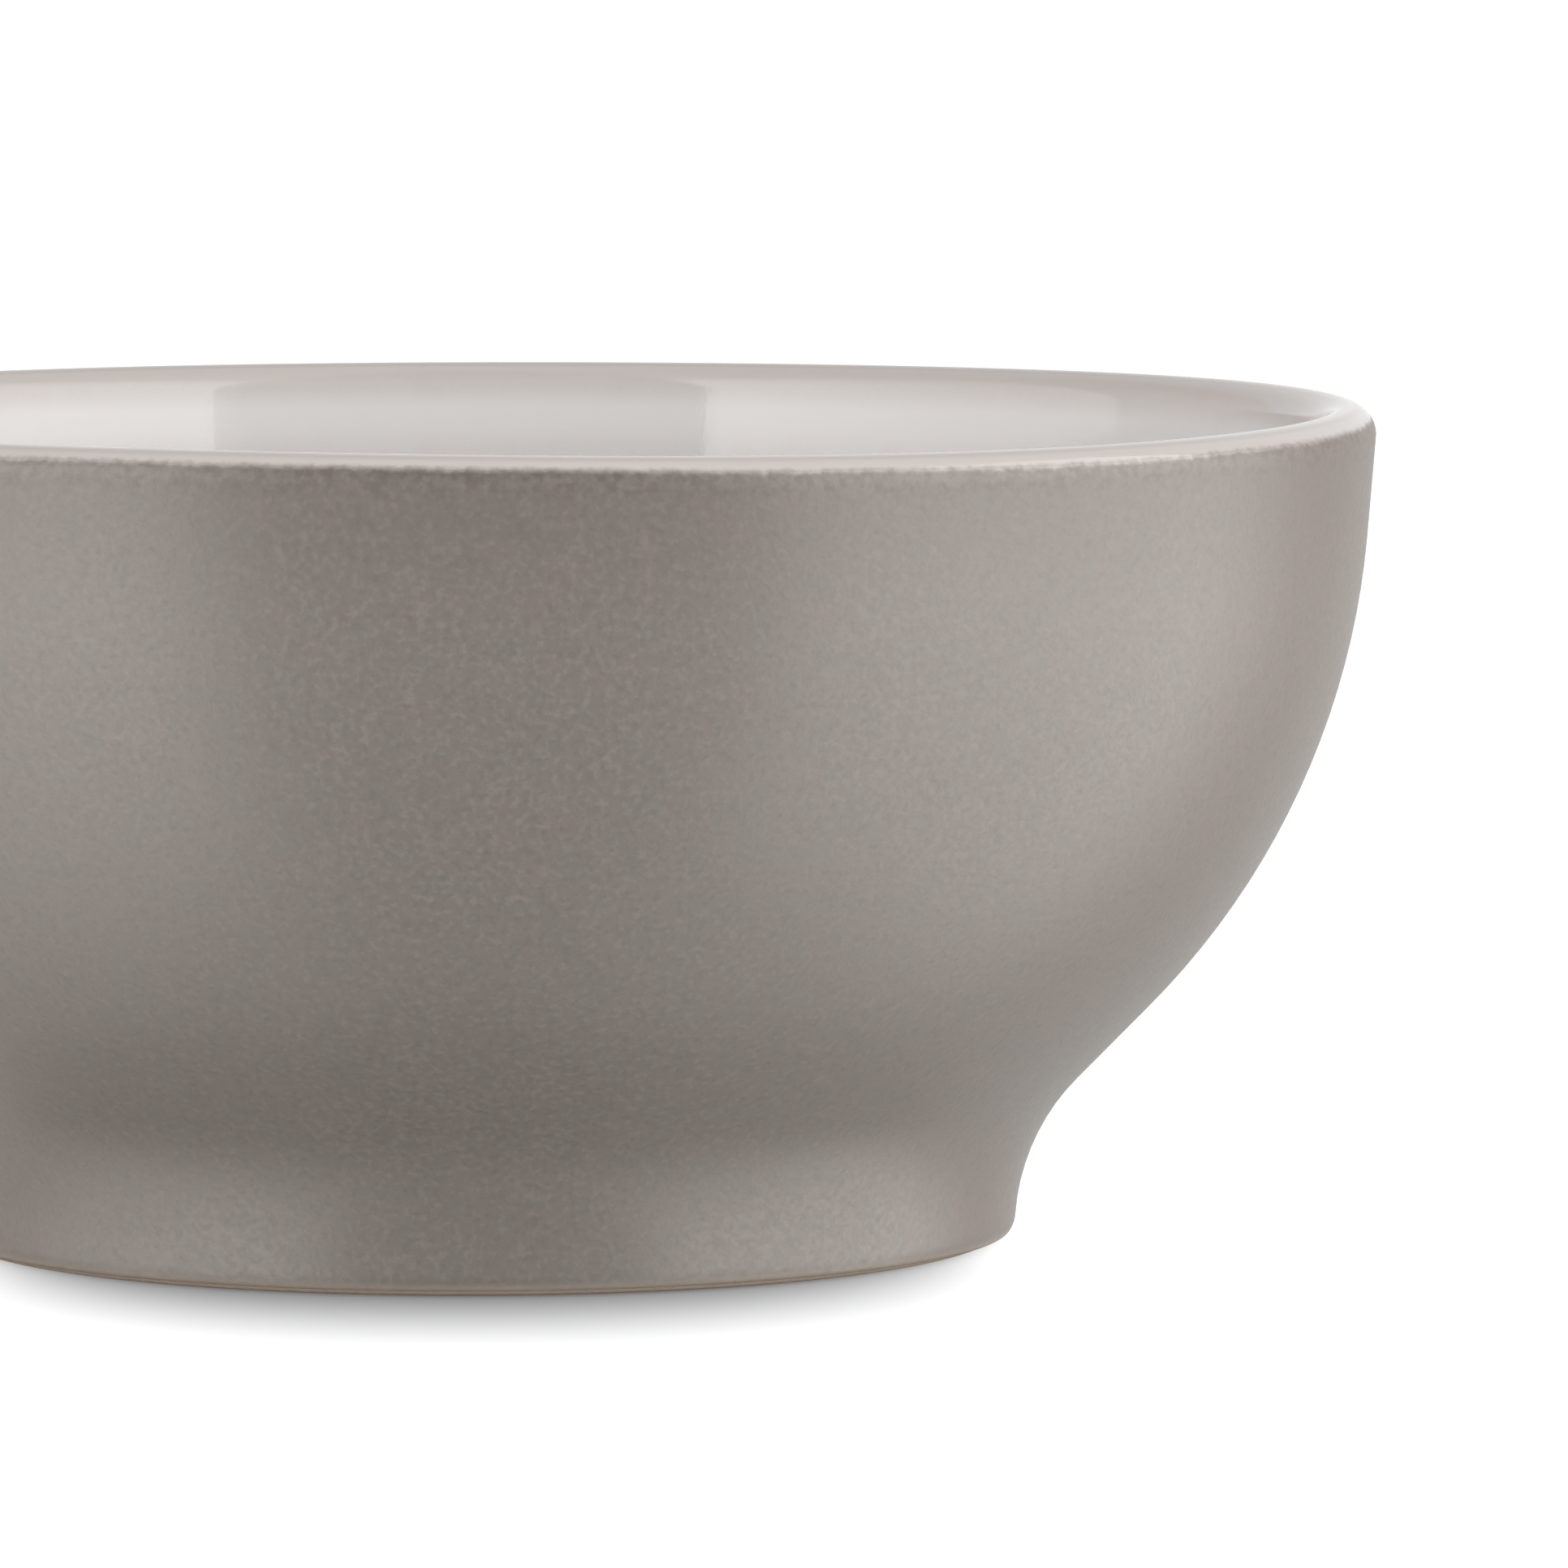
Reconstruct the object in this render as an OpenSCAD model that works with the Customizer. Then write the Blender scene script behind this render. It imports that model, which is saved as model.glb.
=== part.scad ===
// Latte bowl: a footed stoneware bowl without a handle. The clay is fired in one piece, a glossy
// lining runs over the lip, a satin coat covers the outside, and the foot ring is left bare.
// Millimetres, +Z up, origin on the table at the centre of the foot.

/* [Bowl] */
// Outside diameter at the lip, glaze included
rim_d = 150; // [130:1:175]
// Height from the table to the top of the lip, glaze included
bowl_h = 69.5; // [62:0.5:80]
// Lean of the upper wall, outwards from upright
wall_lean = 4.8; // [0:0.2:10]
// Straight stretch of the upper wall, below the lip
wall_len = 8.2; // [1:0.2:14]
// Straight stretch of the flank, between the belly and the waist
flank_len = 8.5; // [0:0.5:14]

/* [Clay] */
// Thickness of the clay wall
clay_t = 4; // [3:0.1:6]
// Thickness of the clay floor, above the recess in the foot
floor_t = 5; // [3.5:0.5:8]
// Radius of the curve between the flank and the floor, inside
floor_curve_r = 30; // [10:1:40]

/* [Foot] */
// Outside diameter of the flat ring that stands on the table
foot_d = 85.2; // [74:0.2:94]
// Width of that flat ring
ring_w = 4.5; // [3:0.1:7]
// Radius of the foot's outer edge
foot_edge_r = 2.1; // [1.5:0.1:3]
// Lean of the foot, where its edge runs into the waist
foot_lean = 4.3; // [0:0.1:10]
// Radius of the hollow waist above the foot
waist_r = 19.3; // [14:0.1:24]
// Depth of the recess inside the foot ring
recess_h = 3.5; // [2.5:0.1:5]
// Radius of the foot ring's inner edge
ring_edge_r = 1.5; // [0.8:0.1:1.8]

/* [Glaze] */
// Thickness of each glaze coat
glaze_t = 0.4; // [0.2:0.05:0.6]
// Where the two glazes meet on the lip's outer side, in degrees above level
break_angle = 37; // [0:1:60]
// Height of the bare clay below the outside glaze
bare_h = 0.6; // [0.3:0.1:1.2]

/* [Curves] */
// How far a chord may lie off its arc
curve_tol = 0.02; // [0.01:0.01:0.05]

/* [Hidden] */
turn_steps = 180;
same_point = 0.001;

// A lean is the angle of a wall from upright, positive where it opens outwards: normal() is the
// way the wall faces and along() is the way up it, both as [radius, height].
function normal(lean) = [cos(lean), -sin(lean)];
function along(lean) = [sin(lean), cos(lean)];

// The foot's outer edge rounds up from the table, and the waist hollows in above it.
foot_c = [foot_d / 2, foot_edge_r];
waist_c = foot_c + (foot_edge_r + waist_r) * normal(foot_lean);
bare_lean = asin((foot_edge_r - bare_h) / (foot_edge_r + glaze_t));

// The lip is a full round on the clay wall.
lip_r = clay_t / 2;
lip_c = [rim_d / 2 - glaze_t - lip_r, bowl_h - glaze_t - lip_r];

// The belly leaves the upper wall at the shoulder and meets the waist along the straight flank,
// which touches both curves. Those two conditions fix its radius and the lean of the flank.
shoulder = lip_c + lip_r * normal(wall_lean) - wall_len * along(wall_lean);
rise = shoulder - waist_c;
belly_r = (rise * rise - pow(waist_r, 2) - pow(flank_len, 2)) / (2 * (waist_r + rise * normal(wall_lean)));
belly_c = shoulder - belly_r * normal(wall_lean);
drop = waist_c - belly_c;
flank_lean = atan2(-flank_len, belly_r + waist_r) - atan2(drop[1], drop[0]);

// The inside follows the outside at the wall's thickness, down to the curve of the floor. That
// curve is limited by the length of the inner flank.
floor_z = recess_h + floor_t;
inner_r = belly_r - clay_t;
flank_top = belly_c + inner_r * normal(flank_lean);
floor_r = min(floor_curve_r, (flank_top[1] - floor_z) / (1 - sin(flank_lean)));
flank_low_z = floor_z + floor_r * (1 - sin(flank_lean));
flank_low_r = flank_top[0] - (flank_top[1] - flank_low_z) * tan(flank_lean);
floor_c = [flank_low_r, flank_low_z] - floor_r * normal(flank_lean);

// The foot ring's inner edge rounds up into a hollow curve, which runs into the recess.
ring_c = [foot_d / 2 - ring_w, ring_edge_r];
recess_r = recess_h - ring_edge_r;
recess_c = ring_c - [ring_edge_r + recess_r, 0];

// Points of an arc about c, from one lean to another. A hollow arc has a negative radius.
function arc(c, r, from, to) =
    let (step = 2 * acos(1 - curve_tol / abs(r)), n = max(2, ceil(abs(to - from) / step)))
    [for (i = [0:n]) c + r * normal(from + (to - from) * i / n)];

function reverse(points) = [for (i = [len(points) - 1:-1:0]) points[i]];

// Outside of the bowl from the bare foot up to the glaze break, off the clay by a coat. The lip's
// arc is split at its widest point, so that the rim has its full diameter.
function outside(coat) = concat(
    arc(foot_c, foot_edge_r + coat, bare_lean, foot_lean),
    arc(waist_c, coat - waist_r, foot_lean, flank_lean),
    arc(belly_c, belly_r + coat, flank_lean, wall_lean),
    arc(lip_c, lip_r + coat, wall_lean, 0),
    arc(lip_c, lip_r + coat, 0, -break_angle));

// From the glaze break over the lip and down to the middle of the floor, off the clay by a coat.
// The lip's arc is split at its top, so that the bowl has its full height.
function lining(coat) = concat(
    arc(lip_c, lip_r + coat, -break_angle, -90),
    arc(lip_c, lip_r + coat, -90, wall_lean - 180),
    arc(belly_c, inner_r - coat, wall_lean, flank_lean),
    arc(floor_c, floor_r - coat, flank_lean, 90),
    [[0, floor_z + coat]]);

// Recess from the foot ring to the middle, off the clay by a coat.
function underside(coat) = concat(
    arc(recess_c, recess_r - coat, 0, -90),
    [[0, recess_h - coat]]);

// A solid of revolution from its outline, without points that repeat.
module turned(points) {
    last = len(points) - 1;
    rotate_extrude($fn = turn_steps)
        polygon([for (i = [0:last]) if (norm(points[i] - points[i == 0 ? last : i - 1]) > same_point) points[i]]);
}

module clay_body() {
    color("peru") turned(concat(
        arc(foot_c, foot_edge_r, 90, bare_lean),
        outside(0),
        lining(0),
        reverse(underside(0)),
        arc(ring_c, ring_edge_r, 180, 90)));
}

module outside_glaze() {
    color("gray") turned(concat(outside(glaze_t), reverse(outside(0))));
}

module inside_glaze() {
    color("ivory") turned(concat(lining(glaze_t), reverse(lining(0))));
}

module underside_glaze() {
    color("dimgray") turned(concat(underside(0), reverse(underside(glaze_t))));
}

clay_body();
outside_glaze();
inside_glaze();
underside_glaze();
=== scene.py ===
"""A latte bowl in glazed stoneware, dressed over its frame and laid out as an add-on.

Four pieces stand for the four solids of the frame: the fired clay, the speckled grey glaze
outside, the glossy white glaze that lines the bowl and runs over its lip, and the grey glaze in
the recess under the foot. Each is turned from its section, as on a potter's wheel, and then
shaped a little: the lip isn't quite level, and the two glazes meet in a ragged line.
"""

import math

import bpy
import numpy as np
from bpy.props import FloatProperty, FloatVectorProperty, PointerProperty
from bpy.types import NodeSocket, Operator, Panel, PropertyGroup
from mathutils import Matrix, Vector, noise


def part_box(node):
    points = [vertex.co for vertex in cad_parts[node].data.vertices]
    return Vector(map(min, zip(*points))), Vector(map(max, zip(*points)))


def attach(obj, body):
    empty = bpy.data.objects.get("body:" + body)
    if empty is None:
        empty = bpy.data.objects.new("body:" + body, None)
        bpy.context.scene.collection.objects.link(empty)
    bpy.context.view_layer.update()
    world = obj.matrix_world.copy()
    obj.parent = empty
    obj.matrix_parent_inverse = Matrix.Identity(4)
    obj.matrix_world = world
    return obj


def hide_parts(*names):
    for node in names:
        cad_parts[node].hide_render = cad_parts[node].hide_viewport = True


bl_info = {
    "name": "Latte Bowl",
    "version": (1, 0, 0),
    "blender": (4, 5, 0),
    "location": "View3D > Sidebar > Latte Bowl",
    "description": "Models a footed stoneware bowl with its glazes, and the studio that it stands in",
    "category": "Object",
}

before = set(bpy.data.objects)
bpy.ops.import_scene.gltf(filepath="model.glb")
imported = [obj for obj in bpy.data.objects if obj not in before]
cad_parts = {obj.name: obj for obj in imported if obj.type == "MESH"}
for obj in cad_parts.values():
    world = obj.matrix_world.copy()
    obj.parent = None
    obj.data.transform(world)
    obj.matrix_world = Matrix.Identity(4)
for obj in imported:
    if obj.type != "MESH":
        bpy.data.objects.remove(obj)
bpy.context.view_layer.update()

# Boxes of the solids that the pieces stand for. Most of the bowl's sizes come from them.
CLAY_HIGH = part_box("clay_body")[1]
OUTSIDE_LOW, OUTSIDE_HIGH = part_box("outside_glaze")
INSIDE_LOW, INSIDE_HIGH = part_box("inside_glaze")
RECESS_LOW, RECESS_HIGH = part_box("underside_glaze")
RING_WIDTH = 0.0045
GLAZE = OUTSIDE_HIGH.x - CLAY_HIGH.x
FOOT_DIAMETER = 2 * (RECESS_HIGH.x + RECESS_LOW.z + RING_WIDTH)

# How finely the pieces are turned. Rows run round the bowl, and hidden faces have fewer of them.
TURN_STEPS = 960
CLAY_STEPS = 360
ROW_LENGTH = 0.0022
ROW_TURN = math.radians(4.5)
HIDDEN = 5.0
SAME_POINT = 1e-6
ROUNDING = 1e-3
SHARP_ANGLE = math.radians(50)

CREST = -math.pi / 2

# The line where the glazes meet wanders in strokes of three sizes, each with its seed. To the right
# of the front, the white glaze has run further down.
BREAK_STROKES = ((0.045, 3.1), (0.009, 7.7), (0.0022, 1.3))
RUN_BEARING = math.radians(50)
RUN_LENGTH = 0.0004
RUN_NARROWNESS = 6

# How the lip settled in the kiln: waves round the bowl, each with its height and the bearing of a
# crest, in degrees to the right of the front.
LIP_WAVES = ((1, 0.00035, 5.0), (2, 0.00027, -49.0), (3, 0.00016, -25.0))


def length(name, description, default):
    """A size in metres."""
    return FloatProperty(
        name=name, description=description, default=default, min=0, precision=5, unit="LENGTH"
    )


def angle(name, description, degrees):
    """An angle, given here in degrees."""
    return FloatProperty(
        name=name, description=description, default=math.radians(degrees), subtype="ANGLE"
    )


def colour(name, description, default):
    """A colour, in linear red, green and blue."""
    return FloatVectorProperty(
        name=name, description=description, default=default, size=3, min=0, max=1, subtype="COLOR"
    )


def strength(name, description, default):
    """A brightness, or a share of one."""
    return FloatProperty(name=name, description=description, default=default, min=0)


class BowlShape(PropertyGroup):
    """Sizes of the clay bowl and of its glaze coats"""

    rim_diameter: length("Rim diameter", "Across the lip, glaze included", 2 * OUTSIDE_HIGH.x)
    height: length("Height", "From the table to the top of the lip, glaze included", INSIDE_HIGH.z)
    wall_lean: angle("Wall lean", "Lean of the upper wall, outwards from upright", 4.8)
    wall_length: length("Wall length", "Straight stretch of the upper wall, below the lip", 0.0082)
    flank_length: length("Flank length", "Straight stretch between the belly and the waist", 0.0085)
    clay_thickness: length("Clay thickness", "Thickness of the clay wall", 0.004)
    floor_height: length("Floor height", "From the table to the clay of the bowl's floor", INSIDE_LOW.z)
    floor_curve: length("Floor curve", "Radius of the curve between the flank and the floor, inside", 0.03)
    foot_diameter: length("Foot diameter", "Across the flat ring that stands on the table", FOOT_DIAMETER)
    ring_width: length("Ring width", "Width of that flat ring", RING_WIDTH)
    foot_edge: length("Foot edge", "Radius of the foot's outer edge", 0.0021)
    foot_lean: angle("Foot lean", "Lean of the foot, where its edge runs into the waist", 4.3)
    waist: length("Waist", "Radius of the hollow waist above the foot", 0.0193)
    recess: length("Recess", "Depth of the recess inside the foot ring", RECESS_HIGH.z)
    ring_edge: length("Ring edge", "Radius of the foot ring's inner edge", RECESS_LOW.z)
    glaze: length("Glaze", "Thickness of each glaze coat", GLAZE)
    glaze_edge: length("Glaze edge", "How far a glaze thins out towards its lower edge", 0.0006)
    glaze_break: angle("Glaze break", "Where the glazes meet on the lip's outer side, above level", 37)
    ragged: length("Ragged break", "How far the glaze break wanders up and down", 0.00010)
    bare_foot: length("Bare foot", "Height of the bare clay below the outside glaze", OUTSIDE_LOW.z)


class GlazeLooks(PropertyGroup):
    """Colours and grain of the glazes and of the bare clay"""

    grey: colour("Grey", "The outside glaze at its plainest", (0.167, 0.150, 0.131))
    grey_warm: colour("Warm patches", "Pinkish patches of the outside glaze", (0.174, 0.149, 0.131))
    grey_cool: colour("Cool patches", "Greenish patches of the outside glaze", (0.162, 0.151, 0.131))
    light_speck: colour("Light specks", "The palest specks of the outside glaze", (0.219, 0.198, 0.179))
    dark_speck: colour("Dark specks", "The darkest specks of the outside glaze", (0.137, 0.119, 0.104))
    seam: colour("Seam", "The grey glaze at its ragged upper edge", (0.110, 0.091, 0.076))
    white: colour("White", "The glaze inside and over the lip", (0.735, 0.716, 0.703))
    # Painted light: the lining is brightened towards this colour in a band below the lip
    painted_light_white: colour("Thick white", "The white glaze at its thickest", (0.795, 0.785, 0.778))
    # The crest colour also carries the painted shade on the lip's rounds
    crest: colour("Crest", "The white glaze where it runs thin on top of the lip", (0.50, 0.455, 0.43))
    clay: colour("Clay", "The bare clay of the foot", (0.64, 0.55, 0.47))
    toasted: colour("Toasted clay", "The bare clay where the kiln has browned it", (0.52, 0.42, 0.33))
    speck_size: length("Speck size", "Size of the specks in the outside glaze", 0.0006)
    patch_size: length("Patch size", "Size of the patches in the outside glaze", 0.0022)


class Studio(PropertyGroup):
    """Lamps, floor and camera around the bowl"""

    right_lamp: strength("Right lamp", "Brightness of the softbox on the right", 1.70)
    left_lamp: strength("Left lamp", "Brightness of the softbox on the left", 1.38)
    front_lamp: strength("Front lamp", "Brightness of the softbox in front", 2.38)
    room: colour("Room", "The room beside the bowl, as a gloss shows it", (0.92, 0.79, 0.73))
    dark_front: colour("Dark front", "The room around the camera, as a gloss shows it", (0.33, 0.29, 0.27))
    ceiling: colour("Ceiling", "The room above the lamps, as a gloss shows it", (0.92, 0.86, 0.82))
    backdrop: colour("Backdrop", "The backdrop, as a gloss shows it", (1.0, 1.0, 1.0))
    fill: strength("Fill", "How much of the room's light falls on the bowl", 0.1)
    overhead: strength("Overhead", "How much of the ceiling's light falls on the bowl", 0.55)
    floor: colour("Floor", "Colour of the floor", (0.92, 0.92, 0.92))
    polish: strength("Polish", "How much the floor mirrors in a gloss", 1.0)
    # The floor's colour to the camera, which shows near the foot as a painted shadow
    shadow: colour("Shadow", "Colour of the floor next to the foot", (0.265, 0.275, 0.29))
    focal: FloatProperty(name="Focal length", description="Of the camera", default=331.05, unit="CAMERA")


# The bowl's section


def facing(lean):
    """The way that a wall faces, as radius and height. It leans outwards from upright."""
    return np.array((math.cos(lean), -math.sin(lean)))


def along(lean):
    """The way up such a wall."""
    return np.array((math.sin(lean), math.cos(lean)))


def arc(centre, radius, coat, start, end, rows=1.0):
    """Points of an arc between two leans, off the clay by a coat. A hollow has a radius below 0."""
    turn = abs(end - start)
    count = max(turn / ROW_TURN, turn * abs(radius) / ROW_LENGTH) / rows
    leans = np.linspace(start, end, max(2, math.ceil(count)) + 1)
    return [centre + (radius + coat) * facing(lean) for lean in leans]


def thinned(coat, clay, reach):
    """A coat's skin that comes down to the clay in a round edge at its start, within a reach."""
    steps = np.linalg.norm(np.diff(coat, axis=0), axis=1)
    distances = np.concatenate(((0,), np.cumsum(steps)))
    left = np.clip(1 - distances / reach, 0, 1)
    shares = np.sqrt(1 - left**2)
    return [low + share * (high - low) for high, low, share in zip(coat, clay, shares)]


def with_rows(points, rows=1.0):
    """The same outline with its long straight stretches divided into rows, and no point twice."""
    filled = [points[0]]
    for point in points[1:]:
        start = filled[-1]
        distance = np.linalg.norm(point - start)
        if distance > SAME_POINT:
            count = math.ceil(distance / (ROW_LENGTH * rows))
            filled.extend(start + (point - start) * i / count for i in range(1, count + 1))
    return filled


class Section:
    """The bowl's section, worked out from its sizes: centres, radii and leans of its curves."""

    def __init__(self, shape):
        self.shape = shape
        self.foot = np.array((shape.foot_diameter / 2, shape.foot_edge))
        self.waist = self.foot + (shape.foot_edge + shape.waist) * facing(shape.foot_lean)
        self.bare_lean = math.asin((shape.foot_edge - shape.bare_foot) / shape.foot_edge)
        self.lip_clay = shape.clay_thickness / 2
        self.lip_skin = self.lip_clay + shape.glaze
        self.lip = np.array((shape.rim_diameter / 2, shape.height)) - self.lip_skin

        # The belly leaves the upper wall at the shoulder and meets the waist along the flank.
        out = facing(shape.wall_lean)
        shoulder = self.lip + self.lip_clay * out - shape.wall_length * along(shape.wall_lean)
        rise = shoulder - self.waist
        spare = rise @ rise - shape.waist**2 - shape.flank_length**2
        self.belly_radius = spare / (2 * (shape.waist + rise @ out))
        self.belly = shoulder - self.belly_radius * out
        drop = self.waist - self.belly
        reach = self.belly_radius + shape.waist
        self.flank_lean = math.atan2(-shape.flank_length, reach) - math.atan2(drop[1], drop[0])

        # Inside, the wall follows at the clay's thickness down to the curve of the floor.
        self.inner_radius = self.belly_radius - shape.clay_thickness
        flank_top = self.belly + self.inner_radius * facing(self.flank_lean)
        turn_left = 1 - math.sin(self.flank_lean)
        self.floor_radius = min(shape.floor_curve, (flank_top[1] - shape.floor_height) / turn_left)
        low = shape.floor_height + self.floor_radius * turn_left
        flank_low = np.array((flank_top[0] - (flank_top[1] - low) * math.tan(self.flank_lean), low))
        self.floor = flank_low - self.floor_radius * facing(self.flank_lean)

        # The foot ring's inner edge rounds up into a hollow curve, which runs into the recess.
        self.ring = np.array((shape.foot_diameter / 2 - shape.ring_width, shape.ring_edge))
        self.recess_radius = shape.recess - shape.ring_edge
        self.recess = self.ring - np.array((shape.ring_edge + self.recess_radius, 0))

    def outside(self, coat, rows=1.0):
        """From the bare foot up to the glaze break, off the clay by a coat."""
        shape = self.shape
        return [
            *arc(self.foot, shape.foot_edge, coat, self.bare_lean, shape.foot_lean, rows),
            *arc(self.waist, -shape.waist, coat, shape.foot_lean, self.flank_lean, rows),
            *arc(self.belly, self.belly_radius, coat, self.flank_lean, shape.wall_lean, rows),
            *arc(self.lip, self.lip_clay, coat, shape.wall_lean, -shape.glaze_break, rows),
        ]

    def lining(self, coat, rows=1.0):
        """From the glaze break over the lip and down to the middle of the floor."""
        shape = self.shape
        return [
            *arc(self.lip, self.lip_clay, coat, -shape.glaze_break, CREST, rows),
            *arc(self.lip, self.lip_clay, coat, CREST, shape.wall_lean - math.pi, rows),
            *arc(self.belly, self.inner_radius, -coat, shape.wall_lean, self.flank_lean, rows),
            *arc(self.floor, self.floor_radius, -coat, self.flank_lean, math.pi / 2, rows),
            np.array((0, shape.floor_height + coat)),
        ]

    def underside(self, coat, rows=1.0):
        """From the foot ring's inner edge to the middle of the recess."""
        return [
            *arc(self.recess, self.recess_radius, -coat, 0, CREST, rows),
            np.array((0, self.shape.recess - coat)),
        ]

    def foot_ring(self):
        """The bare foot, from the outside glaze round to the glaze in the recess."""
        return [
            *arc(self.foot, self.shape.foot_edge, 0, self.bare_lean, math.pi / 2),
            *arc(self.ring, self.shape.ring_edge, 0, math.pi / 2, math.pi),
        ]


# Turning and shaping a piece


def turned(name, outline, steps):
    """A solid of revolution, from a point that is extruded along the outline and turned."""
    bpy.ops.object.select_all(action="DESELECT")
    bpy.ops.mesh.primitive_plane_add(size=ROW_LENGTH, location=(0, 0, 0))
    piece = bpy.context.object
    piece.name = name
    piece.data.name = name
    bpy.ops.object.mode_set(mode="EDIT")
    bpy.ops.mesh.merge(type="CENTER")
    bpy.ops.transform.translate(value=(outline[0][0], 0, outline[0][1]))
    for start, end in zip(outline, outline[1:]):
        radius, height = end - start
        bpy.ops.mesh.extrude_vertices_move(TRANSFORM_OT_translate={"value": (radius, 0, height)})
    bpy.ops.object.mode_set(mode="OBJECT")
    wheel = piece.modifiers.new("wheel", "SCREW")
    wheel.axis = "Z"
    wheel.angle = 2 * math.pi
    wheel.steps = steps
    wheel.render_steps = steps
    wheel.use_merge_vertices = True
    wheel.merge_threshold = SAME_POINT
    bpy.ops.object.modifier_apply(modifier=wheel.name)
    bpy.ops.object.mode_set(mode="EDIT")
    bpy.ops.mesh.select_all(action="SELECT")
    bpy.ops.mesh.remove_doubles(threshold=SAME_POINT)
    bpy.ops.mesh.normals_make_consistent(inside=False)
    bpy.ops.object.mode_set(mode="OBJECT")
    return piece


def wander(turns, radius, size, seed):
    """A smooth random number from -1 to 1 for each angle round the bowl, with no seam."""
    reach = radius / size
    places = [(reach * math.cos(turn), reach * math.sin(turn), seed) for turn in turns]
    return np.array([noise.noise(place) for place in places])


def break_leans(section, turns):
    """The lean on the lip at which the glazes meet, for each angle round the bowl."""
    shape = section.shape
    radius = shape.rim_diameter / 2
    strokes = sum(wander(turns, radius, size, seed) for size, seed in BREAK_STROKES)
    near_run = np.clip(np.cos(turns + math.pi / 2 - RUN_BEARING), 0, 1)
    run = RUN_LENGTH * near_run**RUN_NARROWNESS
    return -shape.glaze_break + (shape.ragged * strokes + run) / section.lip_skin


def mark(piece, name, values):
    """Keeps a number for each point of the piece, for its material to read."""
    layer = piece.data.attributes.new(name, "FLOAT", "POINT")
    layer.data.foreach_set("value", values.astype(np.float32))


def points_of(piece):
    """The piece's points, one in a row."""
    points = np.zeros(len(piece.data.vertices) * 3)
    piece.data.vertices.foreach_get("co", points)
    return points.reshape(-1, 3)


def settle(piece, height):
    """Lets the lip rise and fall a little round the bowl. The foot stays level."""
    points = points_of(piece)
    bearings = np.arctan2(points[:, 0], -points[:, 1])
    for count, rise, crest in LIP_WAVES:
        wave = rise * np.cos(count * (bearings - math.radians(crest)))
        points[:, 2] += wave * np.clip(points[:, 2] / height, 0, 1) ** 2
    piece.data.vertices.foreach_set("co", points.ravel())


def shape_lip(piece, section, fixed_lean, side):
    """Wears the lip of a glaze coat to the ragged break, and marks how far its points are from it.

    The rows of the lip's round between a fixed lean and the break are spread anew. Each point is
    marked with its distance from the crest and from the break, along the surface and outwards.
    The side is 1 for a coat outside the wall and -1 for one inside it.
    """
    shape = section.shape
    points = points_of(piece)
    turns = np.arctan2(points[:, 1], points[:, 0])
    out = np.hypot(points[:, 0], points[:, 1]) - section.lip[0]
    up = points[:, 2] - section.lip[1]
    leans = np.arctan2(-up, out)
    offsets = np.hypot(out, up)
    breaks = break_leans(section, turns)

    shares = (leans - fixed_lean) / (-shape.glaze_break - fixed_lean)
    on_lip = (offsets < section.lip_skin + SAME_POINT) & (shares > 0) & (shares < 1 + ROUNDING)
    leans = np.where(on_lip, fixed_lean + shares * (breaks - fixed_lean), leans)
    radii = np.where(on_lip, section.lip[0] + offsets * np.cos(leans), section.lip[0] + out)
    points[:, 0] = radii * np.cos(turns)
    points[:, 1] = radii * np.sin(turns)
    points[:, 2] = np.where(on_lip, section.lip[1] - offsets * np.sin(leans), points[:, 2])
    piece.data.vertices.foreach_set("co", points.ravel())

    lip_end = section.lip_skin * (side * shape.wall_lean - CREST)
    below_lip = -side * section.lip_skin * math.sin(shape.wall_lean) - up
    round_lip = section.lip_skin * (leans - CREST)
    from_crest = np.where(below_lip < 0, round_lip, side * (lip_end + below_lip))
    mark(piece, "from_crest", from_crest)
    mark(piece, "from_break", from_crest - section.lip_skin * (breaks - CREST))


def finish_piece(piece, node, material):
    """Settles and smooths a piece, gives it its material and sets it in its solid's place."""
    settle(piece, bpy.context.scene.latte_bowl_shape.height)
    bpy.ops.object.select_all(action="DESELECT")
    piece.select_set(True)
    bpy.context.view_layer.objects.active = piece
    bpy.ops.object.shade_smooth_by_angle(angle=SHARP_ANGLE)
    piece.data.materials.clear()
    piece.data.materials.append(material)
    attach(piece, "root")
    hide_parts(node)


# Materials


def put(tree, kind, inputs=None, **settings):
    """Adds a node, whose inputs take plain values or other nodes' outputs."""
    made = tree.nodes.new(kind)
    for name, value in settings.items():
        setattr(made, name, value)
    for name, value in (inputs or {}).items():
        if isinstance(value, NodeSocket):
            tree.links.new(value, made.inputs[name])
        else:
            made.inputs[name].default_value = value
    return made


def maths(tree, operation, first, second=0.0, third=0.0):
    """One sum on one, two or three numbers."""
    numbers = {0: first, 1: second, 2: third}
    return put(tree, "ShaderNodeMath", numbers, operation=operation).outputs[0]


def ramp(tree, value, start, end, low=0.0, high=1.0):
    """A number that eases from low to high while value goes from start to end."""
    inputs = {"Value": value, "From Min": start, "From Max": end, "To Min": low, "To Max": high}
    return put(tree, "ShaderNodeMapRange", inputs, interpolation_type="SMOOTHSTEP").outputs[0]


def hump(tree, value, edges, height):
    """A number that rises to a height between the first two edges and falls between the others."""
    low, rise, fall, high = edges
    rising = ramp(tree, value, low, rise, 0.0, height)
    falling = ramp(tree, value, fall, high, 1.0, 0.0)
    return maths(tree, "MULTIPLY", rising, falling)


def blend(tree, share, first, second):
    """A colour between two, by a share from 0 to 1."""
    return put(tree, "ShaderNodeMix", {0: share, 6: first, 7: second}, data_type="RGBA").outputs[2]


def veil(tree, mask, most, first, second):
    """The first colour with the second laid over it where a mask is, up to a greatest share."""
    return blend(tree, maths(tree, "MULTIPLY", mask, most), first, second)


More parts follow.
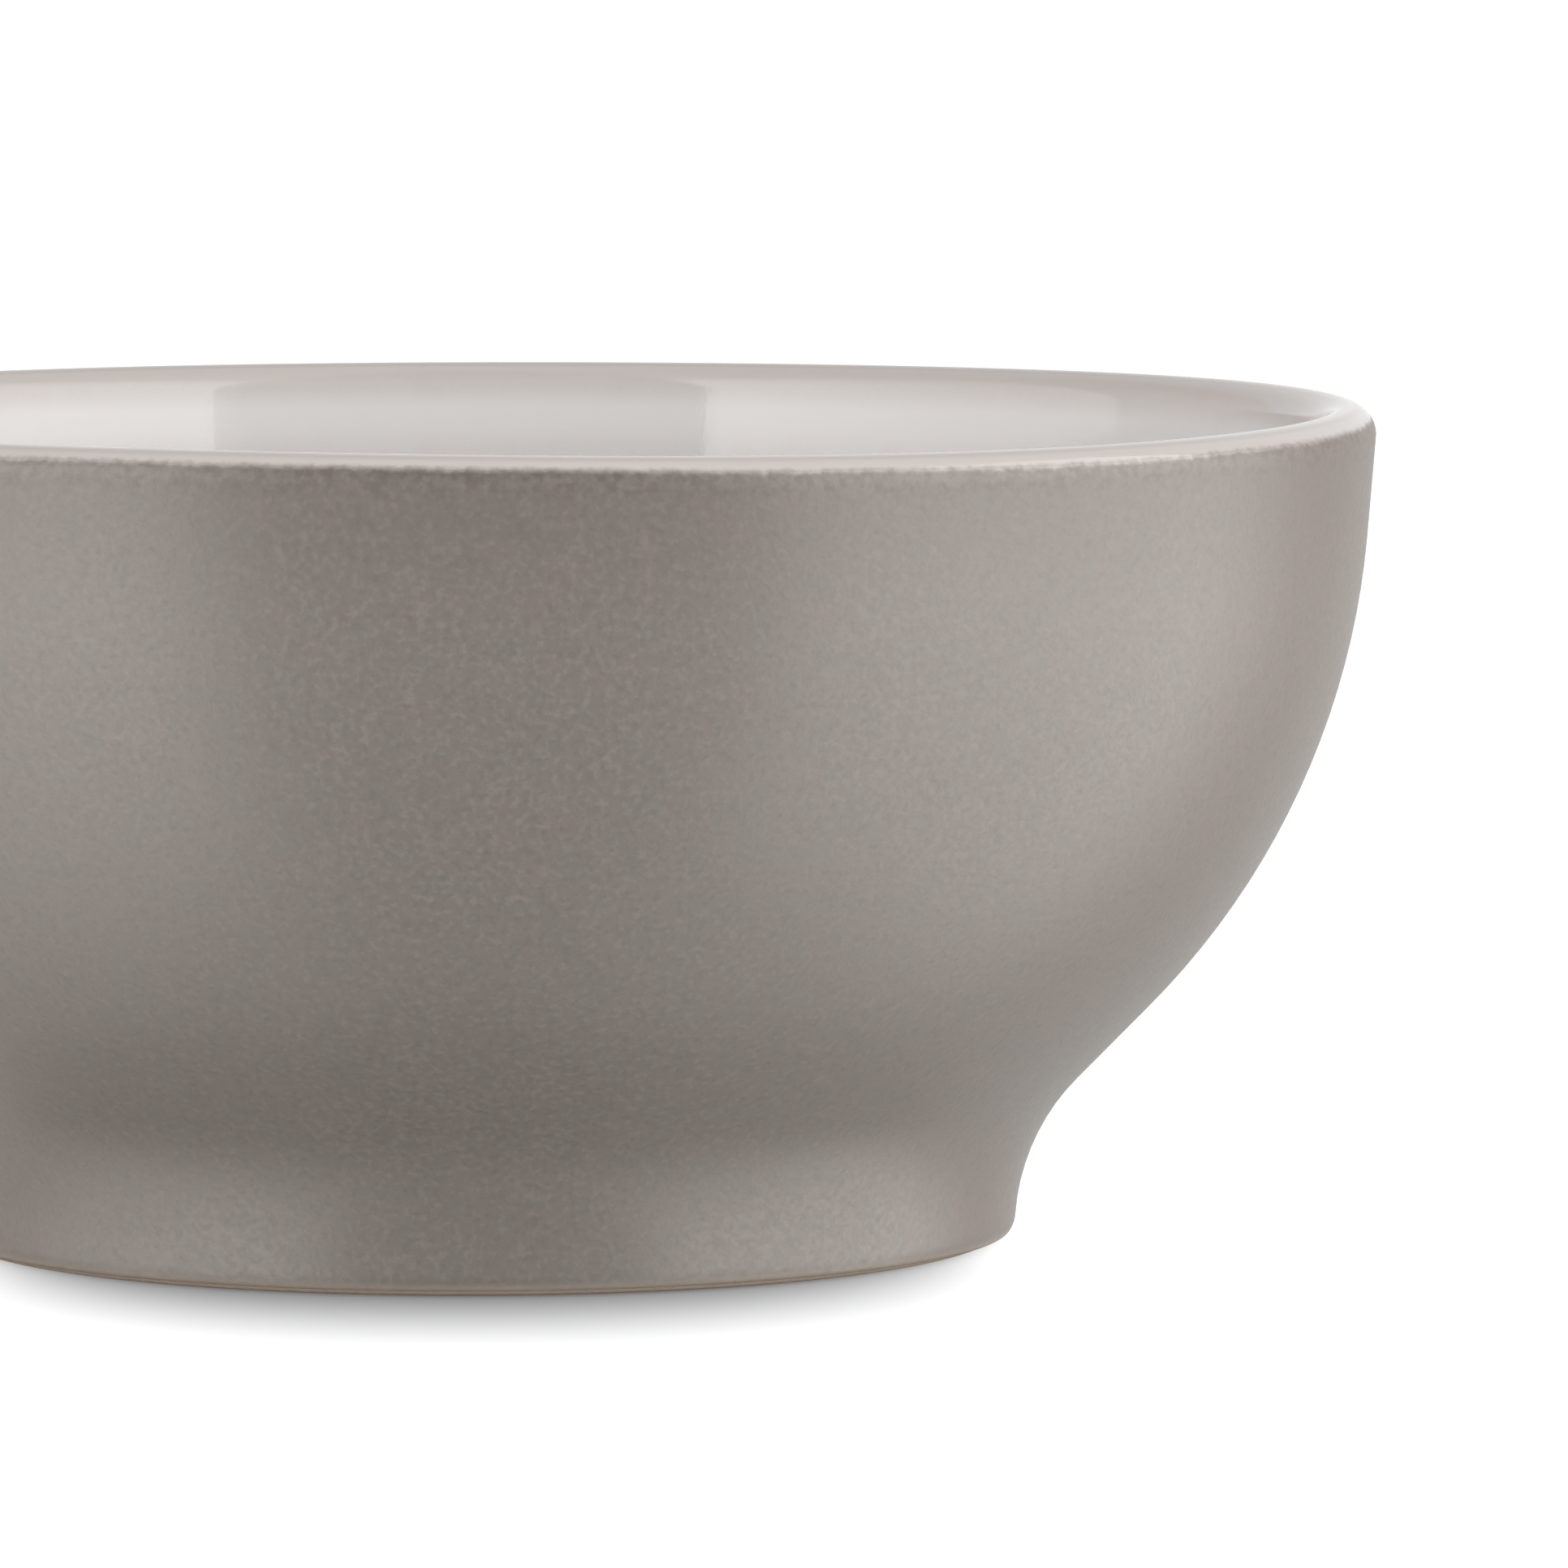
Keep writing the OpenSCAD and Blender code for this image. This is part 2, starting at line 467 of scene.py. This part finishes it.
def grain(tree, vector, size, detail=2.0, shift=0.0):
    """Noise whose marks are of about a given size. A shift takes it from another place."""
    places = {0: vector, 1: (shift, shift, shift)}
    moved = put(tree, "ShaderNodeVectorMath", places, operation="ADD").outputs[0]
    scale = maths(tree, "DIVIDE", 1.0, size)
    return put(tree, "ShaderNodeTexNoise", {"Vector": moved, "Scale": scale, "Detail": detail}).outputs[0]


def opaque(rgb):
    """A colour as a node holds it."""
    return (*rgb, 1.0)


def new_group(name, inputs, outputs):
    """An empty node group, with its inner inputs and outputs."""
    tree = bpy.data.node_groups.new(name, "ShaderNodeTree")
    for label, kind in inputs.items():
        tree.interface.new_socket(name=label, in_out="INPUT", socket_type=kind)
    for label, kind in outputs.items():
        tree.interface.new_socket(name=label, in_out="OUTPUT", socket_type=kind)
    return tree, put(tree, "NodeGroupInput").outputs, put(tree, "NodeGroupOutput").inputs


def group(tree, name, inputs):
    """Places a node group by its name, and gives its outputs."""
    return put(tree, "ShaderNodeGroup", inputs, node_tree=bpy.data.node_groups[name]).outputs


VECTOR = "NodeSocketVector"
NUMBER = "NodeSocketFloat"
TINT = "NodeSocketColor"

# Where a noise turns into specks, patches and blotches, and how strong the grey glaze's specks are
SPECK_EDGES = (0.46, 0.72)
WARM_EDGES = (0.48, 0.64)
COOL_EDGES = (0.52, 0.36)
BLOTCH_EDGES = (0.42, 0.62)
GRAIN_RANGE = (0.3, 0.7)
SPECK_SHARE = 0.55

# The ragged edge of the grey glaze, in metres below the break
TEETH_SIZE = 0.0008
TEETH_DEPTH = 0.0006
BLOTCH_SIZE = 0.0009
BREAK_SOFTNESS = 0.00045
SEAM_REACH = (0.0002, 0.0034)
THIN_REACH = (0.002, 0.016)
THIN_SHARE = 0.33

# How the white glaze is tinted towards the crest colour on the lip: stretches in metres outwards from the
# crest, over which the tint comes in and goes again, and by how much. The broad tint is partly the glaze
# running thin and partly painted shade on the upward-facing lip. Below the lip, inside, the white is
# brightened by a band of painted light.
WHOLE_LIP = ((-0.0054, -0.0014, 0.0040, 0.0060), 0.5)
LIP_LINES = (
    # Partly the glaze running thin and partly painted shade, on the inner round of the lip
    ((-0.0038, -0.0022, -0.0003, 0.0005), 0.2),
    # The glaze running thin on the crest
    ((-0.0014, -0.0007, -0.0003, 0.0003), 0.5),
    # A painted reflection: a dark line just outside the crest, between two highlights
    ((0.0004, 0.0009, 0.0010, 0.0016), 0.25),
    # Painted shade over the outer round of the lip
    ((0.0004, 0.0010, 0.0040, 0.0060), 0.17),
)
# A band of painted light inside the bowl, a little below the lip
PAINTED_LIGHT_STRETCH = (-0.0095, -0.0066, -0.0056, -0.0034)
# How far the white band on the grey coat takes the crest tint: partly thin glaze, partly painted shade
BAND_SHARE = 0.75

# Just above the bare foot the grey glaze is thin and shows the clay. That paler colour is also painted
# light, lifting the shade on the glaze's down-turned lower edge.
FOOT_STRETCH = (0.0006, 0.0014)
FOOT_SHARE = 0.4

# Roughness from the smoothest to the coarsest places, and the depth of the relief
SATIN = (0.38, 0.46)
GLOSSY = (0.02, 0.04)
MATTE = (0.75, 0.92)
BAND_ROUGHNESS = 0.12
EDGE_ROUGHNESS = 0.44
GREY_IOR = 1.9
GLAZE_RELIEF = 0.00002
CLAY_RELIEF = 0.00006


def make_specks():
    """Fine light and dark specks, and the grain that they stand in."""
    tree, given, result = new_group(
        "Fine specks",
        {"Vector": VECTOR, "Size": NUMBER},
        {"Grain": NUMBER, "Light": NUMBER, "Dark": NUMBER},
    )
    pale = grain(tree, given["Vector"], given["Size"])
    deep = grain(tree, given["Vector"], given["Size"], shift=0.31)
    tree.links.new(pale, result["Grain"])
    tree.links.new(ramp(tree, pale, *SPECK_EDGES), result["Light"])
    tree.links.new(ramp(tree, deep, *SPECK_EDGES), result["Dark"])


def make_patches():
    """Soft patches where the kiln has turned a glaze warmer or cooler, and clouds 6 times their size."""
    tree, given, result = new_group(
        "Kiln patches",
        {"Vector": VECTOR, "Size": NUMBER},
        {"Warm": NUMBER, "Cool": NUMBER, "Cloud": NUMBER},
    )
    patch = grain(tree, given["Vector"], given["Size"], detail=3.0, shift=0.17)
    broad_size = maths(tree, "MULTIPLY", given["Size"], 6.0)
    cloud = grain(tree, given["Vector"], broad_size, shift=0.53)
    tree.links.new(ramp(tree, patch, *WARM_EDGES), result["Warm"])
    tree.links.new(ramp(tree, patch, *COOL_EDGES), result["Cool"])
    tree.links.new(cloud, result["Cloud"])


def make_speckled_grey(looks):
    """The colour and grain of the outside glaze."""
    tree, given, result = new_group(
        "Speckled grey", {"Vector": VECTOR}, {"Colour": TINT, "Grain": NUMBER, "Cloud": NUMBER}
    )
    specks = group(tree, "Fine specks", {"Vector": given["Vector"], "Size": looks.speck_size})
    patches = group(tree, "Kiln patches", {"Vector": given["Vector"], "Size": looks.patch_size})
    shade = blend(tree, patches["Warm"], opaque(looks.grey), opaque(looks.grey_warm))
    shade = blend(tree, patches["Cool"], shade, opaque(looks.grey_cool))
    shade = veil(tree, specks["Light"], SPECK_SHARE, shade, opaque(looks.light_speck))
    shade = veil(tree, specks["Dark"], SPECK_SHARE, shade, opaque(looks.dark_speck))
    tree.links.new(shade, result["Colour"])
    tree.links.new(specks["Grain"], result["Grain"])
    tree.links.new(patches["Cloud"], result["Cloud"])


def make_break():
    """Where the grey glaze is, its brown blotches near the ragged upper edge, and where it is thin."""
    tree, given, result = new_group(
        "Glaze break",
        {"Vector": VECTOR, "From Break": NUMBER},
        {"Grey": NUMBER, "Seam": NUMBER, "Thin": NUMBER},
    )
    teeth = grain(tree, given["Vector"], TEETH_SIZE, shift=0.71)
    wave = maths(tree, "MULTIPLY", maths(tree, "SUBTRACT", teeth, 0.5), TEETH_DEPTH)
    depth = maths(tree, "ADD", given["From Break"], wave)
    tree.links.new(ramp(tree, depth, -BREAK_SOFTNESS, BREAK_SOFTNESS), result["Grey"])
    spots = grain(tree, given["Vector"], BLOTCH_SIZE, detail=3.0, shift=0.37)
    seam = ramp(tree, depth, *SEAM_REACH, 1.0, 0.0)
    blotches = maths(tree, "MULTIPLY", seam, ramp(tree, spots, *BLOTCH_EDGES))
    tree.links.new(blotches, result["Seam"])
    tree.links.new(ramp(tree, depth, *THIN_REACH, 1.0, 0.0), result["Thin"])


def new_material(name, viewport):
    """An empty material with its shader, and the place on the piece that its patterns read."""
    material = bpy.data.materials.new(name)
    material.diffuse_color = opaque(viewport)
    material.use_nodes = True
    tree = material.node_tree
    tree.nodes.clear()
    shader = put(tree, "ShaderNodeBsdfPrincipled")
    put(tree, "ShaderNodeOutputMaterial", {"Surface": shader.outputs[0]})
    return material, tree, shader.inputs, put(tree, "ShaderNodeTexCoord").outputs["Object"]


def distance_mark(tree, name):
    """Reads a distance that is kept on the piece."""
    return put(tree, "ShaderNodeAttribute", attribute_name=name).outputs["Fac"]


def relief(tree, height, depth):
    """A normal from a height, where depth is the size of the relief in metres."""
    return put(tree, "ShaderNodeBump", {"Height": height, "Distance": depth, "Strength": 1.0}).outputs[0]


def make_grey_glaze(looks):
    """Satin grey glaze, finely speckled, that turns white and glossy past its ragged edge."""
    material, tree, shader, place = new_material("speckled_grey", looks.grey)
    grey = group(tree, "Speckled grey", {"Vector": place})
    from_break = distance_mark(tree, "from_break")
    edge = group(tree, "Glaze break", {"Vector": place, "From Break": from_break})
    shade = veil(tree, edge["Thin"], THIN_SHARE, grey["Colour"], opaque(looks.seam))
    shade = blend(tree, edge["Seam"], shade, opaque(looks.seam))
    height = put(tree, "ShaderNodeSeparateXYZ", {0: place}).outputs["Z"]
    # Thin glaze showing the clay, and painted light on the shaded lower edge
    near_foot = ramp(tree, height, *FOOT_STRETCH, FOOT_SHARE, 0.0)
    shade = blend(tree, near_foot, shade, opaque(looks.toasted))
    # The white above the ragged line takes the crest tint like the lining's lip: partly thin glaze, partly
    # painted shade
    band = blend(tree, BAND_SHARE, opaque(looks.white), opaque(looks.crest))
    tree.links.new(blend(tree, edge["Grey"], band, shade), shader["Base Color"])
    satin = ramp(tree, grey["Grain"], *GRAIN_RANGE, *SATIN)
    tree.links.new(ramp(tree, edge["Grey"], 0.0, 1.0, BAND_ROUGHNESS, satin), shader["Roughness"])
    shader["IOR"].default_value = GREY_IOR
    tree.links.new(relief(tree, grey["Grain"], GLAZE_RELIEF), shader["Normal"])
    return material


def make_white_glaze(looks):
    """Glossy off-white glaze, pinkish on the lip where it runs thin and where shade is painted, with a
    band of painted light below the lip.
    """
    material, tree, shader, place = new_material("glossy_white", looks.white)
    grey = group(tree, "Speckled grey", {"Vector": place})
    from_break = distance_mark(tree, "from_break")
    edge = group(tree, "Glaze break", {"Vector": place, "From Break": from_break})
    patches = group(tree, "Kiln patches", {"Vector": place, "Size": 0.004})
    specks = group(tree, "Fine specks", {"Vector": place, "Size": 0.0005})
    from_crest = distance_mark(tree, "from_crest")
    # The lip's tint: partly the glaze running thin, partly painted shade, with a painted reflection line
    thin = hump(tree, from_crest, *WHOLE_LIP)
    for stretch, share in LIP_LINES:
        thin = maths(tree, "ADD", thin, hump(tree, from_crest, stretch, share))
    # A band of painted light that brightens the lining below the lip
    painted_light_band = hump(tree, from_crest, PAINTED_LIGHT_STRETCH, 1.0)
    crest = opaque(looks.crest)
    shade = veil(tree, patches["Cool"], 0.06, opaque(looks.white), crest)
    shade = veil(tree, specks["Dark"], 0.04, shade, crest)
    shade = blend(tree, painted_light_band, shade, opaque(looks.painted_light_white))
    shade = blend(tree, thin, shade, crest)
    tree.links.new(blend(tree, edge["Grey"], shade, grey["Colour"]), shader["Base Color"])
    gloss = ramp(tree, patches["Cloud"], *GRAIN_RANGE, *GLOSSY)
    tree.links.new(ramp(tree, edge["Grey"], 0.0, 1.0, gloss, EDGE_ROUGHNESS), shader["Roughness"])
    height = maths(tree, "MULTIPLY_ADD", specks["Dark"], 0.1, patches["Cloud"])
    tree.links.new(relief(tree, height, GLAZE_RELIEF), shader["Normal"])
    return material


def make_bare_clay(looks):
    """Matte clay with sandy grain, browned in patches by the kiln."""
    material, tree, shader, place = new_material("toasted_clay", looks.clay)
    patches = group(tree, "Kiln patches", {"Vector": place, "Size": 0.005})
    specks = group(tree, "Fine specks", {"Vector": place, "Size": 0.0004})
    shade = blend(tree, patches["Cloud"], opaque(looks.clay), opaque(looks.toasted))
    shade = veil(tree, specks["Light"], 0.5, shade, opaque(looks.clay))
    shade = veil(tree, specks["Dark"], 0.6, shade, opaque(looks.toasted))
    tree.links.new(shade, shader["Base Color"])
    tree.links.new(ramp(tree, specks["Grain"], *GRAIN_RANGE, *MATTE), shader["Roughness"])
    tree.links.new(relief(tree, specks["Grain"], CLAY_RELIEF), shader["Normal"])
    return material


def material_for(name):
    """The material of that name, made with its node groups when it is first asked for."""
    looks = bpy.context.scene.latte_bowl_looks
    if "Fine specks" not in bpy.data.node_groups:
        make_specks()
        make_patches()
        make_speckled_grey(looks)
        make_break()
    makers = {
        "speckled_grey": make_grey_glaze,
        "glossy_white": make_white_glaze,
        "toasted_clay": make_bare_clay,
    }
    return bpy.data.materials.get(name) or makers[name](looks)


# Studio

# The floor lies a hair below the foot, so that their faces don't fall together.
FLOOR_SIZE = 12.0
FLOOR_GAP = 2e-5
FLOOR_ROUGHNESS = 0.25

# A painted shadow round the foot, laid over the real one: how far it reaches in under the foot and out
# from it, beside the bowl and in front of it, and how soon it narrows from the front to the side
SHADOW_IN = (0.005, 0.014)
SHADOW_OUT = (0.003, 0.050)
SHADOW_NARROWING = 3.0

# The softboxes beside the bowl, with bearings in degrees to the right of the front. Two shares say how
# bright one is at its right and at its left side, as seen from the bowl, and it fades upwards.
SOFTBOX_DISTANCE = 0.8
SOFTBOX_HEIGHT = 1.1
SOFTBOX_FOOT = 0.01
RIGHT_SOFTBOX = {"bearing": 77.0, "half_view": 38.5, "shares": (1.0, 1.0)}
LEFT_SOFTBOX = {"bearing": -69.5, "half_view": 35.5, "shares": (0.5, 1.2)}
FADE_START = 0.35
FADE_TOP = 0.6
FRONT_LAMP_PLACE = (0.0, -1.1, 0.22)
FRONT_LAMP_SIZE = (1.0, 0.4)
# Watts for each square metre of a lamp of brightness 1
AREA_LAMP_SHARE = 4.0

# The room: where its ceiling begins, and the edge of the dark front and of the backdrop, as the
# cosine of an angle from straight ahead
CEILING_START = math.radians(44)
CEILING_FULL = math.radians(52)
OPENING_EDGE = (math.cos(math.radians(35)), math.cos(math.radians(33.5)))

CAMERA_PLACE = (0.0, -1.2, 0.1398)
CAMERA_TURN = (90 - 4.858, 0.0, -1.228)
SENSOR = 36.0


def light_path(tree):
    """What sees a surface: the camera, by itself or through glass, and a gloss. Each is 1 or 0."""
    path = put(tree, "ShaderNodeLightPath").outputs
    camera = maths(tree, "MAXIMUM", path["Is Camera Ray"], path["Is Transmission Ray"])
    return camera, path["Is Glossy Ray"]


def make_floor(studio):
    """A floor with a painted shadow near the bowl, over the real one, that is white further off and
    mirrors in a gloss.
    """
    bpy.ops.object.select_all(action="DESELECT")
    bpy.ops.mesh.primitive_plane_add(size=FLOOR_SIZE, location=(0, 0, -FLOOR_GAP))
    floor = bpy.context.object
    floor.name = "floor"
    material = bpy.data.materials.new("floor")
    material.use_nodes = True
    tree = material.node_tree
    tree.nodes.clear()
    camera, gloss = light_path(tree)
    place = put(tree, "ShaderNodeTexCoord").outputs["Object"]
    way = put(tree, "ShaderNodeSeparateXYZ", {0: place}).outputs
    distance = put(tree, "ShaderNodeVectorMath", {0: place}, operation="LENGTH").outputs["Value"]
    ahead = maths(tree, "ABSOLUTE", maths(tree, "DIVIDE", way["Y"], distance))
    forward = maths(tree, "POWER", ahead, SHADOW_NARROWING)
    foot = FOOT_DIAMETER / 2
    inner = maths(tree, "MULTIPLY_ADD", forward, SHADOW_IN[0] - SHADOW_IN[1], foot - SHADOW_IN[0])
    outer = maths(tree, "MULTIPLY_ADD", forward, SHADOW_OUT[1] - SHADOW_OUT[0], foot + SHADOW_OUT[0])
    # Painted shadow: the camera sees the floor in the shadow colour, with a white glow that is held back
    # near the foot
    clear = ramp(tree, distance, inner, outer)
    seen = maths(tree, "MULTIPLY", camera, clear)
    light = put(tree, "ShaderNodeEmission", {"Color": (1, 1, 1, 1), "Strength": seen})
    shade = blend(tree, camera, opaque(studio.floor), opaque(studio.shadow))
    matte = put(tree, "ShaderNodeBsdfDiffuse", {"Color": shade})
    lit = put(tree, "ShaderNodeAddShader", {0: light.outputs[0], 1: matte.outputs[0]})
    polish = put(tree, "ShaderNodeBsdfGlossy", {"Color": (1, 1, 1, 1), "Roughness": FLOOR_ROUGHNESS})
    share = maths(tree, "MULTIPLY", gloss, studio.polish)
    both = put(tree, "ShaderNodeMixShader", {0: share, 1: lit.outputs[0], 2: polish.outputs[0]})
    put(tree, "ShaderNodeOutputMaterial", {"Surface": both.outputs[0]})
    floor.data.materials.append(material)


def make_room(scene, studio):
    """White to the camera. A gloss shows a warm room, and the bowl gets a part of that room's light."""
    world = bpy.data.worlds.new("room")
    world.use_nodes = True
    tree = world.node_tree
    tree.nodes.clear()
    camera, gloss = light_path(tree)
    way = put(tree, "ShaderNodeTexCoord").outputs["Generated"]
    parts = put(tree, "ShaderNodeSeparateXYZ", {0: way}).outputs
    level = put(tree, "ShaderNodeVectorMath", {0: way, 1: (1, 1, 0)}, operation="MULTIPLY").outputs[0]
    heading = put(tree, "ShaderNodeVectorMath", {0: level}, operation="NORMALIZE").outputs[0]
    ahead = put(tree, "ShaderNodeSeparateXYZ", {0: heading}).outputs["Y"]
    front = ramp(tree, ahead, -OPENING_EDGE[1], -OPENING_EDGE[0], 1.0, 0.0)
    behind = ramp(tree, ahead, *OPENING_EDGE)
    high = ramp(tree, parts["Z"], math.sin(CEILING_START), math.sin(CEILING_FULL))
    walls = blend(tree, high, opaque(studio.room), opaque(studio.ceiling))
    walls = blend(tree, front, walls, opaque(studio.dark_front))
    shown = blend(tree, behind, walls, opaque(studio.backdrop))
    beside = blend(tree, studio.fill, (0, 0, 0, 1), opaque(studio.room))
    above = blend(tree, studio.overhead, (0, 0, 0, 1), opaque(studio.ceiling))
    dim = blend(tree, high, beside, above)
    tint = blend(tree, camera, blend(tree, gloss, dim, shown), (1, 1, 1, 1))
    sky = put(tree, "ShaderNodeBackground", {"Color": tint})
    put(tree, "ShaderNodeOutputWorld", {"Surface": sky.outputs[0]})
    scene.world = world


def make_softbox(name, brightness, bearing, half_view, shares):
    """A lamp beside the bowl that fills a wide angle of its view, to either side of a bearing."""
    turn = math.radians(bearing)
    width = 2 * SOFTBOX_DISTANCE * math.tan(math.radians(half_view))
    middle = SOFTBOX_FOOT + SOFTBOX_HEIGHT / 2
    place = Vector((math.sin(turn) * SOFTBOX_DISTANCE, -math.cos(turn) * SOFTBOX_DISTANCE, middle))
    bpy.ops.object.light_add(type="AREA", location=place, rotation=(math.pi / 2, 0, turn))
    lamp = bpy.context.object
    lamp.name = name
    lamp.visible_camera = False
    lamp.data.shape = "RECTANGLE"
    lamp.data.size = width
    lamp.data.size_y = SOFTBOX_HEIGHT
    lamp.data.energy = AREA_LAMP_SHARE * brightness * width * SOFTBOX_HEIGHT
    lamp.data.use_nodes = True
    tree = lamp.data.node_tree
    spot = put(tree, "ShaderNodeNewGeometry").outputs["Parametric"]
    parts = put(tree, "ShaderNodeSeparateXYZ", {0: spot}).outputs
    upwards = ramp(tree, parts["Y"], FADE_START, 1.0, 1.0, FADE_TOP)
    across = ramp(tree, parts["X"], 0.0, 1.0, *shares)
    glow = maths(tree, "MULTIPLY", upwards, across)
    tree.links.new(glow, tree.nodes["Emission"].inputs["Strength"])


def make_front_lamp(brightness):
    """A low lamp at the camera that fills in the front, and that no gloss shows."""
    turn = Vector(FRONT_LAMP_PLACE).to_track_quat("Z", "Y").to_euler()
    bpy.ops.object.light_add(type="AREA", location=FRONT_LAMP_PLACE, rotation=turn)
    lamp = bpy.context.object
    lamp.name = "front_softbox"
    lamp.visible_camera = False
    lamp.visible_glossy = False
    lamp.data.shape = "RECTANGLE"
    lamp.data.size, lamp.data.size_y = FRONT_LAMP_SIZE
    lamp.data.energy = AREA_LAMP_SHARE * brightness * math.prod(FRONT_LAMP_SIZE)


def make_camera(scene, studio):
    """A long lens in front of the bowl, a little above its lip."""
    turns = [math.radians(turn) for turn in CAMERA_TURN]
    bpy.ops.object.camera_add(location=CAMERA_PLACE, rotation=turns)
    camera = bpy.context.object
    camera.data.sensor_width = SENSOR
    camera.data.lens = studio.focal
    camera.data.clip_end = FLOOR_SIZE
    scene.camera = camera
    scene.view_settings.view_transform = "Standard"


# Operators


class LATTEBOWL_OT_clay_body(Operator):
    """Turns the fired clay: wall, floor, waist and the bare foot ring"""

    bl_idname = "latte_bowl.clay_body"
    bl_label = "Clay Body"

    def execute(self, context):
        section = Section(context.scene.latte_bowl_shape)
        outline = [
            *reversed(section.lining(0, HIDDEN)),
            *reversed(section.outside(0, HIDDEN)),
            *section.foot_ring(),
            *section.underside(0, HIDDEN),
        ]
        piece = turned("fired_clay", with_rows(outline, HIDDEN), CLAY_STEPS)
        finish_piece(piece, "clay_body", material_for("toasted_clay"))
        return {"FINISHED"}


class LATTEBOWL_OT_outside_glaze(Operator):
    """Coats the outside with the speckled grey glaze, from the foot up to the ragged break"""

    bl_idname = "latte_bowl.outside_glaze"
    bl_label = "Outside Glaze"

    def execute(self, context):
        section = Section(context.scene.latte_bowl_shape)
        shape = section.shape
        skin = thinned(section.outside(shape.glaze), section.outside(0), shape.glaze_edge)
        back = with_rows([*reversed(section.outside(0, HIDDEN))], HIDDEN)
        piece = turned("grey_outside_glaze", [*with_rows(skin), *back], TURN_STEPS)
        shape_lip(piece, section, shape.wall_lean, 1)
        finish_piece(piece, "outside_glaze", material_for("speckled_grey"))
        return {"FINISHED"}


class LATTEBOWL_OT_inside_glaze(Operator):
    """Lines the bowl with the white glaze, from the ragged break over the lip to the floor"""

    bl_idname = "latte_bowl.inside_glaze"
    bl_label = "Inside Glaze"

    def execute(self, context):
        section = Section(context.scene.latte_bowl_shape)
        skin = with_rows([*reversed(section.lining(section.shape.glaze))])
        back = with_rows(section.lining(0, HIDDEN), HIDDEN)
        piece = turned("white_lining_glaze", [*skin, *back], TURN_STEPS)
        shape_lip(piece, section, CREST, -1)
        finish_piece(piece, "inside_glaze", material_for("glossy_white"))
        return {"FINISHED"}


class LATTEBOWL_OT_underside_glaze(Operator):
    """Coats the recess under the foot with the grey glaze"""

    bl_idname = "latte_bowl.underside_glaze"
    bl_label = "Underside Glaze"

    def execute(self, context):
        section = Section(context.scene.latte_bowl_shape)
        shape = section.shape
        skin = thinned(section.underside(shape.glaze), section.underside(0), shape.glaze_edge)
        back = with_rows([*reversed(section.underside(0, HIDDEN))], HIDDEN)
        piece = turned("grey_underside_glaze", [*back, *with_rows(skin)], CLAY_STEPS)
        mark(piece, "from_break", np.full(len(piece.data.vertices), shape.height))
        finish_piece(piece, "underside_glaze", material_for("speckled_grey"))
        return {"FINISHED"}


class LATTEBOWL_OT_studio(Operator):
    """Sets up the floor, the softboxes, the room's light and the camera"""

    bl_idname = "latte_bowl.studio"
    bl_label = "Studio"

    def execute(self, context):
        studio = context.scene.latte_bowl_studio
        make_floor(studio)
        make_room(context.scene, studio)
        make_softbox("right_softbox", studio.right_lamp, **RIGHT_SOFTBOX)
        make_softbox("left_softbox", studio.left_lamp, **LEFT_SOFTBOX)
        make_front_lamp(studio.front_lamp)
        make_camera(context.scene, studio)
        return {"FINISHED"}


class LATTEBOWL_PT_panel(Panel):
    """The bowl's pieces and sizes"""

    bl_idname = "LATTEBOWL_PT_panel"
    bl_label = "Latte Bowl"
    bl_space_type = "VIEW_3D"
    bl_region_type = "UI"
    bl_category = "Latte Bowl"

    def draw(self, context):
        layout = self.layout
        for maker in OPERATORS:
            layout.operator(maker.bl_idname)
        for group_name in ("latte_bowl_shape", "latte_bowl_looks", "latte_bowl_studio"):
            values = getattr(context.scene, group_name)
            box = layout.box()
            for name in values.__annotations__:
                box.prop(values, name)


GROUPS = {"latte_bowl_shape": BowlShape, "latte_bowl_looks": GlazeLooks, "latte_bowl_studio": Studio}
OPERATORS = (
    LATTEBOWL_OT_clay_body,
    LATTEBOWL_OT_outside_glaze,
    LATTEBOWL_OT_inside_glaze,
    LATTEBOWL_OT_underside_glaze,
    LATTEBOWL_OT_studio,
)
CLASSES = (*GROUPS.values(), *OPERATORS, LATTEBOWL_PT_panel)


def register():
    """Adds the classes, and their values to the scene."""
    for made in CLASSES:
        bpy.utils.register_class(made)
    for name, values in GROUPS.items():
        setattr(bpy.types.Scene, name, PointerProperty(type=values))


def unregister():
    """Takes away what register added."""
    for name in GROUPS:
        delattr(bpy.types.Scene, name)
    for made in reversed(CLASSES):
        bpy.utils.unregister_class(made)


def main():
    """Adds the values, sized from the solids, to the scene, and makes the bowl and its studio."""
    register()
    bpy.ops.latte_bowl.clay_body()
    bpy.ops.latte_bowl.outside_glaze()
    bpy.ops.latte_bowl.inside_glaze()
    bpy.ops.latte_bowl.underside_glaze()
    bpy.ops.latte_bowl.studio()


if __name__ == "__main__":
    main()
